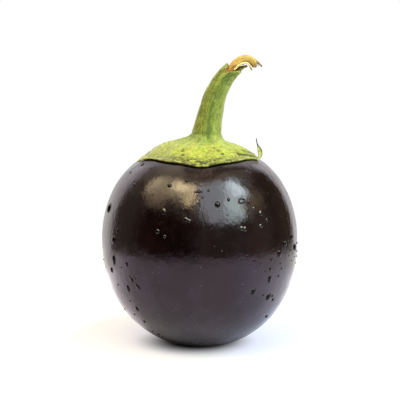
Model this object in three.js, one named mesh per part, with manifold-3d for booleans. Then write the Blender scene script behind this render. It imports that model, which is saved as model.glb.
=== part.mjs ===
// A round eggplant, as picked: it stands on its flattened blossom end, with the green calyx
// and the bent stalk on top, and a dried strip where the stalk was torn off the plant.
// Millimetres, +Z up. The origin is the middle of the flat spot that the fruit rests on.
// The stalk bends towards +X, and -Y is the front. Angles round the fruit run from the front
// towards +X, in degrees. Points of the calyx and the stalk are measured from the fruit's axis.
import * as THREE from "three";
import { mergeVertices } from "three/addons/utils/BufferGeometryUtils.js";
import Module from "manifold-3d";

// ---- driving dimensions ----
const GAP = 0.3; // between pieces that touch

const FRUIT_RADIUS = 50; // at the equator
const LOWER_HEIGHT = 54.1; // half-height of the lower superellipse, before the foot cuts it
const LOWER_POWER = 2.09; // 2 is an ellipse, more is squarer
const UPPER_HEIGHT = 53.6;
const UPPER_POWER = 2.06;
const FOOT_RADIUS = 10; // the flat spot
const AXIS_X = -0.9; // the fruit's axis stands this far from the middle of the flat spot
const FRUIT_RINGS = 15; // in each half
const FRUIT_SECTORS = 72;

const CROWN_DROP = 4.8; // the crown is sunk by this much under the calyx,
const CROWN_INNER = 19; // all of it inside this radius
const CROWN_OUTER = 36.5; // and none of it outside this radius
const PUCKER_DEPTH = 1.3; // shallow dips in the shoulder, one below each point of the calyx
const PUCKER_RADIUS = 34;
const PUCKER_WIDTH = 13; // radial half-width
const PUCKER_ANGLE = 20; // half-width round the fruit, in degrees

// The calyx rim, round from the front: points that reach out, and a notch between each two.
const RIM = [
  { at: 4.5, radius: 29.8 },
  { at: 58.5, radius: 26.6 },
  { at: 90, radius: 30.9 },
  { at: 121.5, radius: 25.4 },
  { at: 148.5, radius: 32.6 },
  { at: 180, radius: 25.8 },
  { at: 211.5, radius: 31.8 },
  { at: 238.5, radius: 25.6 },
  { at: 270, radius: 32.2 },
  { at: 301.5, radius: 26.8 },
];
const POINT_SHARPNESS = 1.1; // 1 is a straight edge from notch to point, more is hollower
const CALYX_THICK = 3.8; // round the foot of the stalk
const CALYX_SWELL = 0.07; // thicker by this share on the side away from the bend
const CALYX_THIN = 0.9; // at the rim
const CALYX_THINS_FROM = 0.66; // shares of the way out to the rim where the thinning
const CALYX_LIFTS_FROM = 0.75; // and the lifting start
const CALYX_LIFT = 0.4; // the rim stands off the skin by this much
const CALYX_SECTORS = 80;
const BOSS_RADIUS = 7.8; // the calyx rises to the stalk, which stands on its level top
const BOSS_SHARE = 0.27; // share of the way out that the level top takes up
const BOSS_TOP = 108;
const BOSS_X = 3.3; // the stalk's foot stands this far from the fruit's axis
const BOSS_FLARE = 1.1; // how far the rise spreads
const BOSS_FLARE_LEAN = 0.55; // it spreads further on the side away from the bend

// The dried tip of the calyx's right-hand point curls up off the skin.
const CURL_PATH = [
  [29.6, 0, 95.2],
  [30.6, 0, 96.4],
  [30.8, 0, 98.4],
  [30.1, 0, 100.8],
  [29.2, 0, 103],
  [28.8, 0, 105.4],
];
const CURL_ROOT = { thick: 1.6, wide: 3.2 };
const CURL_TIP = { thick: 0.6, wide: 0.6 };

const STALK_PATH = [
  [BOSS_X - 0.4, 0, BOSS_TOP - 4],
  [4.3, 0, 112.7],
  [6, 0, 120.8],
  [8.4, 0, 128.8],
  [13, 0, 136.9],
  [19.4, 0, 143.3],
];
const STALK_FOOT_RADIUS = 7.5;
const STALK_FOOT_FLARE = 0.5; // the foot is wider by this much
const STALK_TIP_RADIUS = 4;
const STALK_RIDGES = 6;
const STALK_RIDGE_HEIGHT = 0.03; // as a share of the radius
const TEAR_TILT = 27; // the torn face leans towards the bend, from level, in degrees
const TEAR_POINT = [15.8, 0, 140.5]; // the middle of the torn face

// A sliver of green rind stands out under the tear.
const SLIVER_PATH = [
  [15.5, -1, 136],
  [18.6, -1, 139.6],
  [21.3, -1, 141],
  [23.6, -1, 141.3],
];
const SLIVER_ROOT = { thick: 1.8, wide: 5.2 };
const SLIVER_TIP = { thick: 0.7, wide: 1 };

// The dried strip arches over from the torn face. Its underside is hollow.
const STRIP_PATH = [
  [13.6, 0, 138.5],
  [16, 0, 141.8],
  [19.7, 0, 144.8],
  [23.7, 0, 146],
  [27.8, 0, 144.9],
  [31.1, 0, 141.4],
];
const STRIP_ROOT = { thick: 4.6, wide: 7 };
const STRIP_TIP = { thick: 1.8, wide: 2.4 };
const HOLLOW_PATH = [
  [19.5, 0, 142.2],
  [22.9, 0, 143.4],
  [25.8, 0, 142],
  [28.6, 0, 138.8],
];
const HOLLOW_SIZE = { thick: 3.6, wide: 4 };
const STRAND_PATH = [
  [16.5, -1.6, 141.6],
  [19, -2, 143.4],
  [21.8, -2, 144],
  [23.8, -1.9, 142.9],
  [25.4, -1.7, 140],
];
const STRAND_ROOT = { thick: 1.2, wide: 1.4 };
const STRAND_TIP = { thick: 0.7, wide: 0.7 };

// ---- helpers ----
const wasm = await Module();
wasm.setup();

const { degToRad, radToDeg, smoothstep, lerp } = THREE.MathUtils;

function toSolid(geometry) {
  const bare = geometry.index ? geometry.toNonIndexed() : geometry.clone();
  bare.deleteAttribute("normal");
  bare.deleteAttribute("uv");
  const merged = mergeVertices(bare, 1e-4);
  return new wasm.Manifold(
    new wasm.Mesh({
      numProp: 3,
      vertProperties: merged.attributes.position.array,
      triVerts: new Uint32Array(merged.index.array),
    }),
  );
}

function toGeometry(solid) {
  const mesh = solid.getMesh();
  const geometry = new THREE.BufferGeometry();
  geometry.setAttribute("position", new THREE.BufferAttribute(mesh.vertProperties, 3));
  geometry.setIndex(new THREE.BufferAttribute(mesh.triVerts, 1));
  geometry.computeVertexNormals();
  return geometry;
}

// Bends a cylinder along a curve in the plane of the stalk's bend. size(t, angle) gives its
// thickness in that plane and its width along Y, at the share t of the length.
function sweep(path, sides, steps, size) {
  const curve = new THREE.CatmullRomCurve3(path.map((point) => new THREE.Vector3(...point)));
  const rod = new THREE.CylinderGeometry(0.5, 0.5, 1, sides, steps);
  const place = rod.attributes.position;
  const depth = new THREE.Vector3(0, 1, 0);
  for (let i = 0; i < place.count; i++) {
    const t = place.getY(i) + 0.5;
    const tangent = curve.getTangentAt(t);
    const across = new THREE.Vector3().crossVectors(depth, tangent).normalize();
    const front = new THREE.Vector3().crossVectors(across, tangent);
    const { thick, wide } = size(t, Math.atan2(place.getZ(i), place.getX(i)));
    const point = curve
      .getPointAt(t)
      .addScaledVector(across, place.getX(i) * thick)
      .addScaledVector(front, place.getZ(i) * wide);
    place.setXYZ(i, point.x, point.y, point.z);
  }
  rod.computeVertexNormals();
  return rod;
}

// A size for sweep that keeps its root until the share start, then tapers to its tip.
const taper = (root, tip, start) => (t) => {
  const share = smoothstep(t, start, 1);
  return { thick: lerp(root.thick, tip.thick, share), wide: lerp(root.wide, tip.wide, share) };
};

// ---- the fruit's surface ----
const superellipse = (share, power) => (1 - share ** power) ** (1 / power);
const EQUATOR_Z = LOWER_HEIGHT * superellipse(FOOT_RADIUS / FRUIT_RADIUS, LOWER_POWER);

// How deep the shoulder dips below the calyx's points.
function pucker(radius, angle) {
  const turns = RIM.filter((_, i) => i % 2 === 0).map(({ at }) =>
    Math.abs(((angle - at + 540) % 360) - 180),
  );
  const round = 1 - smoothstep(Math.min(...turns), 0, PUCKER_ANGLE);
  const out = 1 - smoothstep(Math.abs(radius - PUCKER_RADIUS), 0, PUCKER_WIDTH);
  return PUCKER_DEPTH * round * out;
}

// Height of the fruit's upper half at a radius and angle round its axis.
function crownHeight(radius, angle) {
  const dome = UPPER_HEIGHT * superellipse(Math.min(radius / FRUIT_RADIUS, 1), UPPER_POWER);
  const sunk = CROWN_DROP * (1 - smoothstep(radius, CROWN_INNER, CROWN_OUTER));
  return EQUATOR_Z + dome - sunk - pucker(radius, angle);
}

// ---- the pieces ----
// The lathe's profile holds the lower half as it is, and the upper half's radii one step above
// the equator, from where each vertex is then lifted to the crown's height.
function fruitGeometry() {
  const profile = [new THREE.Vector2(0, 0)];
  const footTurn = Math.asin((FOOT_RADIUS / FRUIT_RADIUS) ** (LOWER_POWER / 2));
  for (let i = 0; i <= FRUIT_RINGS; i++) {
    const turn = lerp(footTurn, Math.PI / 2, i / FRUIT_RINGS);
    const radius = FRUIT_RADIUS * Math.sin(turn) ** (2 / LOWER_POWER);
    const height = LOWER_HEIGHT * Math.cos(turn) ** (2 / LOWER_POWER);
    profile.push(new THREE.Vector2(radius, i === 0 ? 0 : EQUATOR_Z - height));
  }
  for (let i = 1; i < FRUIT_RINGS; i++) {
    const radius = FRUIT_RADIUS * Math.cos((Math.PI / 2) * (i / FRUIT_RINGS));
    profile.push(new THREE.Vector2(radius, EQUATOR_Z + 1));
  }
  profile.push(new THREE.Vector2(0, EQUATOR_Z + 1));
  const fruit = new THREE.LatheGeometry(profile, FRUIT_SECTORS);
  fruit.rotateX(Math.PI / 2);
  const place = fruit.attributes.position;
  for (let i = 0; i < place.count; i++) {
    const [x, y, z] = [place.getX(i), place.getY(i), place.getZ(i)];
    if (z > EQUATOR_Z + 0.5) {
      place.setZ(i, crownHeight(Math.hypot(x, y), radToDeg(Math.atan2(x, -y))));
    } else {
      place.setX(i, x - AXIS_X * (1 - z / EQUATOR_Z) ** 2);
    }
  }
  fruit.computeVertexNormals();
  return fruit;
}

function rimRadius(angle) {
  const turn = (angle + 360) % 360;
  const next = Math.max(
    0,
    RIM.findIndex(({ at }) => at > turn),
  );
  const before = RIM[(next + RIM.length - 1) % RIM.length];
  const after = RIM[next];
  const share = ((turn - before.at + 360) % 360) / ((after.at - before.at + 360) % 360);
  const leavesPoint = before.radius > after.radius;
  const [point, notch] = leavesPoint ? [before, after] : [after, before];
  const nearness = leavesPoint ? 1 - share : share;
  return lerp(notch.radius, point.radius, nearness ** POINT_SHARPNESS);
}

// One vertex of the calyx, at the share s of the way out to the rim.
function calyxPoint(s, angle, isTop) {
  const turn = degToRad(angle);
  const outward = Math.max(0, (s - BOSS_SHARE) / (1 - BOSS_SHARE));
  const inward = Math.min(1, s / BOSS_SHARE);
  const radius = lerp(inward * BOSS_RADIUS, rimRadius(angle), outward);
  const x = BOSS_X * (1 - outward) + radius * Math.sin(turn);
  const y = -radius * Math.cos(turn);
  const skin = crownHeight(Math.hypot(x, y), radToDeg(Math.atan2(x, -y)));
  const under = skin + GAP + CALYX_LIFT * smoothstep(s, CALYX_LIFTS_FROM, 1);
  if (!isTop) return [x, y, under];
  const thick = CALYX_THICK * (1 - CALYX_SWELL * Math.sin(turn));
  const cap = under + lerp(thick, CALYX_THIN, smoothstep(s, CALYX_THINS_FROM, 1));
  const flare = BOSS_FLARE - BOSS_FLARE_LEAN * Math.sin(turn);
  const rise = Math.exp(-Math.max(0, Math.hypot(x - BOSS_X, y) - BOSS_RADIUS) / flare);
  return [x, y, lerp(cap, BOSS_TOP, rise)];
}

// A flat disc with an underside at height 0 and a top at 1, whose vertices are then placed.
function calyxGeometry() {
  const under = [0, BOSS_SHARE, 0.45, 0.6, 0.75, 0.88, 1];
  const over = [1, 0.94, 0.87, 0.79, 0.71, 0.63, 0.55, 0.47, 0.4, 0.34, 0.3, BOSS_SHARE, 0];
  const profile = [
    ...under.map((s) => new THREE.Vector2(s, 0)),
    ...over.map((s) => new THREE.Vector2(s, 1)),
  ];
  const cap = new THREE.LatheGeometry(profile, CALYX_SECTORS);
  cap.rotateX(Math.PI / 2);
  const place = cap.attributes.position;
  for (let i = 0; i < place.count; i++) {
    const [x, y, z] = [place.getX(i), place.getY(i), place.getZ(i)];
    place.setXYZ(i, ...calyxPoint(Math.hypot(x, y), radToDeg(Math.atan2(x, -y)), z > 0.5));
  }
  const curl = sweep(CURL_PATH, 8, 12, taper(CURL_ROOT, CURL_TIP, 0.35));
  return toGeometry(toSolid(cap).add(toSolid(curl)));
}

function stalkRod(t, angle) {
  const flare = STALK_FOOT_FLARE * (1 - smoothstep(t, 0.05, 0.25));
  const radius = lerp(STALK_FOOT_RADIUS, STALK_TIP_RADIUS, t) + flare;
  const width = 2 * radius * (1 + STALK_RIDGE_HEIGHT * Math.cos(STALK_RIDGES * angle));
  return { thick: width, wide: width };
}

// The torn face's direction, and its distance from the fruit's axis at z = 0 along it.
const TEAR_NORMAL = new THREE.Vector3(Math.sin(degToRad(TEAR_TILT)), 0, Math.cos(degToRad(TEAR_TILT)));
const TEAR_OFFSET = TEAR_NORMAL.dot(new THREE.Vector3(...TEAR_POINT));

function stalkGeometry() {
  const rod = toSolid(sweep(STALK_PATH, 24, 24, stalkRod))
    .trimByPlane([0, 0, 1], BOSS_TOP + GAP)
    .trimByPlane(TEAR_NORMAL.clone().negate().toArray(), -TEAR_OFFSET);
  const sliver = sweep(SLIVER_PATH, 8, 8, taper(SLIVER_ROOT, SLIVER_TIP, 0.1));
  return toGeometry(rod.add(toSolid(sliver)));
}

function tornEndGeometry() {
  const strip = sweep(STRIP_PATH, 16, 20, taper(STRIP_ROOT, STRIP_TIP, 0.15));
  const hollow = sweep(HOLLOW_PATH, 12, 10, () => HOLLOW_SIZE);
  const strand = sweep(STRAND_PATH, 8, 12, taper(STRAND_ROOT, STRAND_TIP, 0.2));
  return toGeometry(
    toSolid(strip)
      .subtract(toSolid(hollow))
      .add(toSolid(strand))
      .trimByPlane(TEAR_NORMAL.toArray(), TEAR_OFFSET + GAP),
  );
}

// ---- assembly ----
function piece(name, geometry, color, roughness) {
  const material = new THREE.MeshStandardMaterial({ color, roughness, metalness: 0 });
  const mesh = new THREE.Mesh(geometry, material);
  mesh.name = name;
  mesh.position.x = AXIS_X;
  return mesh;
}

const eggplant = new THREE.Group();
eggplant.add(
  piece("fruit", fruitGeometry(), 0x1a0f1c, 0.15),
  piece("calyx", calyxGeometry(), 0xb9c94a, 0.7),
  piece("stalk", stalkGeometry(), 0x7f9a3c, 0.65),
  piece("torn_end", tornEndGeometry(), 0xc9a04e, 0.75),
);

export default eggplant;
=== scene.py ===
"""A round eggplant, as picked: glossy skin, a green calyx, a bent stalk and its torn, dried end.

Lengths are in millimetres until they reach a mesh. +Z is up and -Y is the front. Turns round
the fruit are in degrees, from the front towards +X. The calyx, the stalk and the torn end are
measured from the fruit's own axis, which stands a little to the side of the foot's middle.
"""

import math
import random
from bisect import bisect_left

import bmesh
import bpy
from mathutils import Matrix, Vector, noise
from mathutils.bvhtree import BVHTree


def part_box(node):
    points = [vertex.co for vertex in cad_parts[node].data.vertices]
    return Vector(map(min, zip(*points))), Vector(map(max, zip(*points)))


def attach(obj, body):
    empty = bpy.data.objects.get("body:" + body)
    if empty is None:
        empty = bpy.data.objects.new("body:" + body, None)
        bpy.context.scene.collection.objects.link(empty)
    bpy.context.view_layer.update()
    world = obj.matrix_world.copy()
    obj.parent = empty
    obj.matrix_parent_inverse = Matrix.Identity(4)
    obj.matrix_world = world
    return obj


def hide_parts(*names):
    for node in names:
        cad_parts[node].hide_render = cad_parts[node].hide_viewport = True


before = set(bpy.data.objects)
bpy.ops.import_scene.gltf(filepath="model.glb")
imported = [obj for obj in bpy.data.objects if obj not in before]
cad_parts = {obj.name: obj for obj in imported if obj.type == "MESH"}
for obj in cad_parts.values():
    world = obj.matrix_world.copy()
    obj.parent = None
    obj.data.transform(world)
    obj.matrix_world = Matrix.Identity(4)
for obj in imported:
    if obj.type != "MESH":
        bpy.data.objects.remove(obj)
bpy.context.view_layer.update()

MM = 0.001

# ---- the fruit ----
fruit_low, fruit_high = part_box("fruit")
FRUIT_RADIUS = (fruit_high.x - fruit_low.x) / 2 / MM
AXIS_X = (fruit_high.x + fruit_low.x) / 2 / MM
LOWER_HEIGHT = 54.1
LOWER_POWER = 2.09
UPPER_HEIGHT = 53.6
UPPER_POWER = 2.06
FOOT_RADIUS = 10
SCAR_RADIUS = 3.4
SCAR_DEPTH = 0.7
CROWN_DROP = 4.8
CROWN_INNER = 19
CROWN_OUTER = 36.5
DIP_DEPTH = 1.3
DIP_RADIUS = 34
DIP_REACH = 13
SWELL_HEIGHT = 0.16
SWELL_SIZE = 24
SWELL_SHIFT = Vector((3.1, 0.4, 7.7))
SWELL_START = (2, 20)  # heights at which the swells start and are full
RIPPLE_SHARE = 0.12
RIPPLE_SIZE = 9
SKIN_COLUMNS = 80
SKIN_ROWS = 22

# ---- the calyx ----
# Points and the notches between them: turn, and how far out each reaches.
RIM = (
    (1.5, 30), (58.5, 26.6), (90, 30.9), (121.5, 25.4), (148.5, 32.6),
    (180, 25.8), (211.5, 31.8), (238.5, 25.6), (270, 32.2), (301.5, 26.8),
)
RIM_RAGGED = ((9, 0.45), (24, 0.3))  # the rim's unevenness: how fine and how high
CALYX_THICK = 3.8
CALYX_THIN = 0.9
CALYX_THINS = 0.534  # it gets thinner from this share of the way out
CALYX_SWELL = 0.07
CALYX_LIFT = 0.12
CALYX_WAVE = 0.35  # how much more the rim lifts where it is wavy
CALYX_LIFTS = 0.66
CALYX_RIDGE = 0.5  # along the middle of each point
CALYX_VALLEY = 0.45  # between two points
SKIN_GAP = 0.22
BOSS_RADIUS = 7.8
BOSS_TOP = 108
BOSS_X = 3.3
BOSS_FLARE = 1.1
BOSS_FLARE_LEAN = 0.55
GREEN_COLUMNS = 80
CALYX_STEPS = (
    0.012, 0.03, 0.055, 0.085, 0.12, 0.165, 0.22, 0.28, 0.34, 0.4, 0.455, 0.51, 0.56, 0.61,
    0.655, 0.7, 0.74, 0.775, 0.81, 0.845, 0.875, 0.905, 0.93, 0.955, 0.978, 0.995,
)
UNDER_STEPS = (0.99, 0.96, 0.9, 0.78, 0.6, 0.35, 0.1)
RIM_ZONE = 0.68  # the rim's marks start this share of the way out
# Creases in the calyx: turn and share of the way out at both ends, depth, half-width.
CREASES = (
    (52, 0.7, 88, 0.93, 1.3, 0.06),
    (66, 0.62, 92, 0.8, 0.7, 0.04),
    (256, 0.6, 281, 0.88, 0.8, 0.045),
    (141, 0.5, 158, 0.9, 0.6, 0.045),
    (206, 0.45, 220, 0.86, 0.6, 0.045),
    (328, 0.5, 341, 0.86, 0.35, 0.04),
    (16, 0.4, 30, 0.8, 0.3, 0.04),
)
CURL_PATH = (
    (28.4, -0.4, 94.9), (29.7, -0.3, 95.6), (30.5, -0.1, 96.8), (30.6, 0, 98.6),
    (30.0, 0, 100.6), (29.2, 0, 102.6), (28.8, 0, 104.0), (28.7, 0, 105.7),
)
# Sections of drawn-out pieces: across the bend and along Y, where the whole is 1 wide.
CURL_SECTION = (
    (-0.5, -0.5), (-0.42, 0.05), (-0.25, 0.4), (0, 0.5), (0.25, 0.4), (0.42, 0.05), (0.5, -0.5),
    (0.4, -0.48), (0.28, -0.05), (0, 0.14), (-0.28, -0.05), (-0.4, -0.48),
)

# ---- the stalk ----
STALK_PATH = (
    (BOSS_X - 0.4, 0, BOSS_TOP - 4), (4.3, 0, 112.7), (6, 0, 120.8),
    (8.4, 0, 128.8), (13, 0, 136.9), (19.4, 0, 143.3), (23.4, 0, 146.4),
)
STALK_REACH = 0.91  # share of the path that ends where the radius reaches its tip value
STALK_FOOT_RADIUS = 7.5
STALK_FOOT_FLARE = 0.5
STALK_TIP_RADIUS = 4
STALK_RIDGES = 6
STALK_RIDGE_HEIGHT = 0.035
STALK_RIDGE_START = 0.7
STALK_ROWS = 40
STALK_ROW_POWER = 0.92  # the rows lie a little closer together near the tear
TEAR_BEVEL = 0.007  # the share of the stalk over which the torn edge is rounded
TEAR_TEETH = 0.5
TEAR_TEETH_FINE = 7
TEAR_TILT = 27
TEAR_POINT = (15.8, 0, 140.5)
# The torn edge of the rind, by turn: how far it stands above the tear's plane.
TEAR_EDGE = (
    (0, -0.9), (25, 0.0), (60, 1.0), (95, 1.3), (130, 1.0), (185, 0.9),
    (225, 1.4), (262, 2.1), (290, 1.9), (314, -0.4), (334, -3.1), (347, -2.0),
)
RIND = 1.15
TEAR_DEPTH = 2.5
# The tongue of rind on the inner side of the bend, a gutter that is torn lower in front.
TONGUE_PATH = (
    (13.4, 0, 134.9), (15.5, 0, 137.4), (17.8, 0, 139.3), (20.0, 0, 140.7), (22.0, 0, 141.7),
    (24.0, 0, 142.2),
)
TONGUE_SECTION = (
    (0.05, -0.49), (0.28, -0.44), (0.45, -0.25), (0.5, 0), (0.45, 0.25), (0.25, 0.44),
    (-0.45, 0.5), (-0.45, 0.38), (0.08, 0.33), (0.26, 0.12), (0.26, -0.12), (0.06, -0.36),
)

# ---- the torn end ----
STRIP_PATH = (
    (13.8, -0.2, 136.6), (15.4, -0.2, 139.7), (17.1, -0.2, 142.3), (19.2, -0.1, 144.2),
    (21.5, 0, 145.4), (23.8, 0, 145.6), (25.9, 0, 144.7), (27.2, 0, 143.1), (27.5, 0, 141.4),
)
STRIP_SECTION = (
    (-0.5, 0.46), (-0.25, 0.5), (0.05, 0.49), (0.3, 0.42), (0.45, 0.26), (0.5, 0),
    (0.45, -0.26), (0.3, -0.42), (0.05, -0.49), (-0.25, -0.5), (-0.5, -0.46),
    (-0.5, -0.34), (-0.2, -0.3), (0.04, -0.18), (0.12, 0), (0.04, 0.18), (-0.2, 0.3),
    (-0.5, 0.34),
)
STRAND_PATH = (
    (17.0, -2.3, 140.2), (18.9, -2.6, 142.1), (20.7, -2.7, 143.3), (22.7, -2.6, 143.9),
    (24.3, -2.5, 143.5), (25.2, -2.4, 142.2), (26.0, -2.3, 140.2),
)
# Shreds of the strip's outer layer: path, size at the root and at the tip.
SHREDS = (
    (((24.6, -0.6, 146.3), (27.2, -0.7, 145.5), (29.4, -0.7, 143.8), (31.2, -0.6, 141.7)),
     (1.5, 2.2), (0.6, 0.7)),
    (((25.2, 0.9, 146.2), (27.4, 1.2, 145.2), (28.8, 1.4, 143.6), (29.6, 1.5, 142.0)),
     (1.1, 1.2), (0.4, 0.4)),
    (((26.0, 0.2, 145.8), (28.4, 0.3, 144.9), (30.3, 0.5, 143.3), (31.6, 0.8, 141.9)),
     (0.7, 0.9), (0.25, 0.25)),
    (((15.6, 1.4, 140.2), (17.9, 2.0, 142.3), (20.2, 2.4, 143.2), (22.4, 2.5, 142.5)),
     (1.1, 1.5), (0.4, 0.5)),
    (((14.6, -2.6, 139.4), (15.6, -3.0, 141.4), (17.2, -3.2, 142.6), (18.6, -3.1, 143.0)),
     (0.9, 1.3), (0.3, 0.3)),
)

# ---- where the camera stands ----
CAMERA_PLACE = (-0.76, -740.8, 187.3)
CAMERA_AIM = (-0.76, 0, 74.2)
CAMERA_LENS = 132.63
CAMERA_SENSOR = 36
VIEW_SIDE = 400  # points across the camera's view, and down it


# ======== helpers ========
def mm(x, y, z):
    return Vector((x, y, z)) * MM


def blend(low, high, share):
    return low + (high - low) * share


def ease(value, low, high):
    """0 below low, 1 above high, and smooth between them."""
    share = min(1, max(0, (value - low) / (high - low)))
    return share * share * (3 - 2 * share)


def camera_turn():
    return (mm(*CAMERA_AIM) - mm(*CAMERA_PLACE)).to_track_quat("-Z", "Y")


def seen_at(across, down):
    """The direction in which the camera sees a point of its view."""
    step = CAMERA_SENSOR / VIEW_SIDE
    right, up = (across - VIEW_SIDE / 2) * step, (VIEW_SIDE / 2 - down) * step
    return (camera_turn() @ Vector((right, up, -CAMERA_LENS))).normalized()


def facing(turn):
    """The sine and cosine of a turn in degrees: how far it faces +X, and the front."""
    angle = math.radians(turn)
    return math.sin(angle), math.cos(angle)


def start_edit():
    bpy.ops.object.mode_set(mode="EDIT")


def end_edit():
    bpy.ops.object.mode_set(mode="OBJECT")


def deselect_all():
    bpy.ops.object.select_all(action="DESELECT")


def take_up(piece):
    """Makes the piece the only selected and the active object."""
    deselect_all()
    piece.select_set(True)
    bpy.context.view_layer.objects.active = piece


def start_piece(name):
    """Names the primitive that was just added, and sets its place in its mesh."""
    piece = bpy.context.object
    piece.name = piece.data.name = name
    bpy.ops.object.transform_apply(location=True, rotation=True, scale=True)
    return piece


def pick_all():
    bpy.ops.mesh.select_all(action="SELECT")


def pick_none(mode):
    bpy.ops.mesh.select_mode(type=mode)
    bpy.ops.mesh.select_all(action="DESELECT")


def pick_open_edges():
    pick_none("EDGE")
    bpy.ops.mesh.select_non_manifold(
        extend=False, use_wire=False, use_boundary=True, use_multi_face=False,
        use_non_contiguous=False, use_verts=False,
    )


def close_with_point():
    """Draws the selected open ring together in one point at its middle."""
    bpy.ops.mesh.extrude_edges_move()
    bpy.ops.mesh.merge(type="CENTER")


def face_outwards():
    pick_all()
    bpy.ops.mesh.normals_make_consistent(inside=False)


def subdivide(piece, levels):
    smooth = piece.modifiers.new("smooth", "SUBSURF")
    smooth.levels = smooth.render_levels = levels
    take_up(piece)
    bpy.ops.object.modifier_apply(modifier=smooth.name)


def shade(piece, angle):
    take_up(piece)
    bpy.ops.object.shade_smooth_by_angle(angle=math.radians(angle))


def join(name, pieces):
    take_up(pieces[0])
    for piece in pieces:
        piece.select_set(True)
    bpy.ops.object.join()
    pieces[0].name = pieces[0].data.name = name
    return pieces[0]


BEND_STEPS = 24  # between two points
BEND_NEAR = 0.01  # the share to either side that gives the direction


class Bend:
    """A smooth curve through points, with its place and direction at any share of its length."""

    def __init__(self, points):
        stops = [Vector(point) for point in points]
        stops = [2 * stops[0] - stops[1], *stops, 2 * stops[-1] - stops[-2]]
        self.places = [stops[1].copy()]
        for a, b, c, d in zip(stops, stops[1:], stops[2:], stops[3:]):
            for step in range(1, BEND_STEPS + 1):
                t = step / BEND_STEPS
                line = 2 * b + (c - a) * t
                curl = (2 * a - 5 * b + 4 * c - d) * t**2 + (3 * b - a - 3 * c + d) * t**3
                self.places.append((line + curl) / 2)
        self.reached = [0.0]
        for here, there in zip(self.places, self.places[1:]):
            self.reached.append(self.reached[-1] + (there - here).length)
        self.length = self.reached[-1]

    def at(self, share):
        want = min(1, max(0, share)) * self.length
        i = min(len(self.reached) - 1, max(1, bisect_left(self.reached, want)))
        within = (want - self.reached[i - 1]) / (self.reached[i] - self.reached[i - 1])
        return self.places[i - 1].lerp(self.places[i], within)

    def towards(self, share):
        return (self.at(share + BEND_NEAR) - self.at(share - BEND_NEAR)).normalized()


def add_marks(piece, flow, marks):
    """Keeps for each vertex where it lies along the growth, and how much it is marked."""
    for name, values in (("flow", flow), ("marks", marks)):
        layer = piece.data.attributes.new(name, "FLOAT_VECTOR", "POINT")
        layer.data.foreach_set("vector", [number for value in values for number in value])


def read_marks(piece):
    flow = [tuple(item.vector) for item in piece.data.attributes["flow"].data]
    marks = [tuple(item.vector) for item in piece.data.attributes["marks"].data]
    return flow, marks


def roughen(piece, rule):
    """Moves each vertex along its normal by the rule's height, in millimetres."""
    flow, marks = read_marks(piece)
    moves = [
        vertex.normal * rule(Vector(flow[i]), marks[i]) * MM
        for i, vertex in enumerate(piece.data.vertices)
    ]
    for vertex, move in zip(piece.data.vertices, moves):
        vertex.co += move
    piece.data.update()


# ======== the fruit ========
def superellipse(share, power):
    return max(0, 1 - share**power) ** (1 / power)


EQUATOR_Z = LOWER_HEIGHT * superellipse(FOOT_RADIUS / FRUIT_RADIUS, LOWER_POWER)


def crown_height(radius):
    dome = UPPER_HEIGHT * superellipse(min(radius / FRUIT_RADIUS, 1), UPPER_POWER)
    return EQUATOR_Z + dome - CROWN_DROP * (1 - ease(radius, CROWN_INNER, CROWN_OUTER))


def skin_profile():
    """Radius and height from the middle of the foot to the middle of the crown."""
    profile = [(0, SCAR_DEPTH), (SCAR_RADIUS * 0.6, SCAR_DEPTH), (SCAR_RADIUS, SCAR_DEPTH * 0.6)]
    profile += [(SCAR_RADIUS * 1.4, 0.08), (7, 0), (FOOT_RADIUS - 0.8, 0)]
    foot_turn = math.asin((FOOT_RADIUS / FRUIT_RADIUS) ** (LOWER_POWER / 2))
    for row in range(SKIN_ROWS + 1):
        turn = blend(foot_turn, math.pi / 2, row / SKIN_ROWS)
        radius = FRUIT_RADIUS * math.sin(turn) ** (2 / LOWER_POWER)
        drop = LOWER_HEIGHT * math.cos(turn) ** (2 / LOWER_POWER)
        profile.append((radius, EQUATOR_Z - drop))
    for row in range(1, SKIN_ROWS):
        radius = FRUIT_RADIUS * math.cos(math.pi / 2 * row / SKIN_ROWS)
        profile.append((radius, crown_height(radius)))
    profile.append((0, crown_height(0)))
    return profile


def make_skin():
    """A profile is drawn point by point, spun round, dipped below the calyx's points."""
    deselect_all()
    (radius, height), *rest = skin_profile()
    bpy.ops.mesh.primitive_plane_add(size=MM, location=mm(radius, 0, height))
    skin = start_piece("fruit_skin")
    start_edit()
    bpy.ops.mesh.merge(type="CENTER")
    for next_radius, next_height in rest:
        step = mm(next_radius - radius, 0, next_height - height)
        bpy.ops.mesh.extrude_region_move(TRANSFORM_OT_translate={"value": step})
        radius, height = next_radius, next_height
    pick_all()
    bpy.ops.mesh.spin(steps=SKIN_COLUMNS, angle=2 * math.pi, center=(0, 0, 0), axis=(0, 0, 1))
    pick_all()
    bpy.ops.mesh.remove_doubles(threshold=0.02 * MM)
    face_outwards()
    for turn, _ in RIM[::2]:
        dip_skin(skin, turn)
    end_edit()
    for vertex in skin.data.vertices:
        below = max(0, 1 - vertex.co.z / MM / EQUATOR_Z)
        vertex.co.x += AXIS_X * (1 - below**2) * MM
    subdivide(skin, 2)
    uneven_skin(skin)
    shade(skin, 60)
    return skin


def dip_skin(skin, turn):
    """Presses the crown in a little below one of the calyx's points."""
    pick_none("VERT")
    side, front = facing(turn)
    middle = mm(DIP_RADIUS * side, -DIP_RADIUS * front, 0)
    mesh = bmesh.from_edit_mesh(skin.data)
    upper = [vertex for vertex in mesh.verts if vertex.co.z > EQUATOR_Z * MM]
    min(upper, key=lambda vertex: (vertex.co - middle).xy.length).select = True
    mesh.select_flush_mode()
    bmesh.update_edit_mesh(skin.data)
    bpy.ops.transform.translate(
        value=(0, 0, -DIP_DEPTH * MM), use_proportional_edit=True,
        proportional_edit_falloff="SMOOTH", proportional_size=DIP_REACH * MM,
    )


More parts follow.
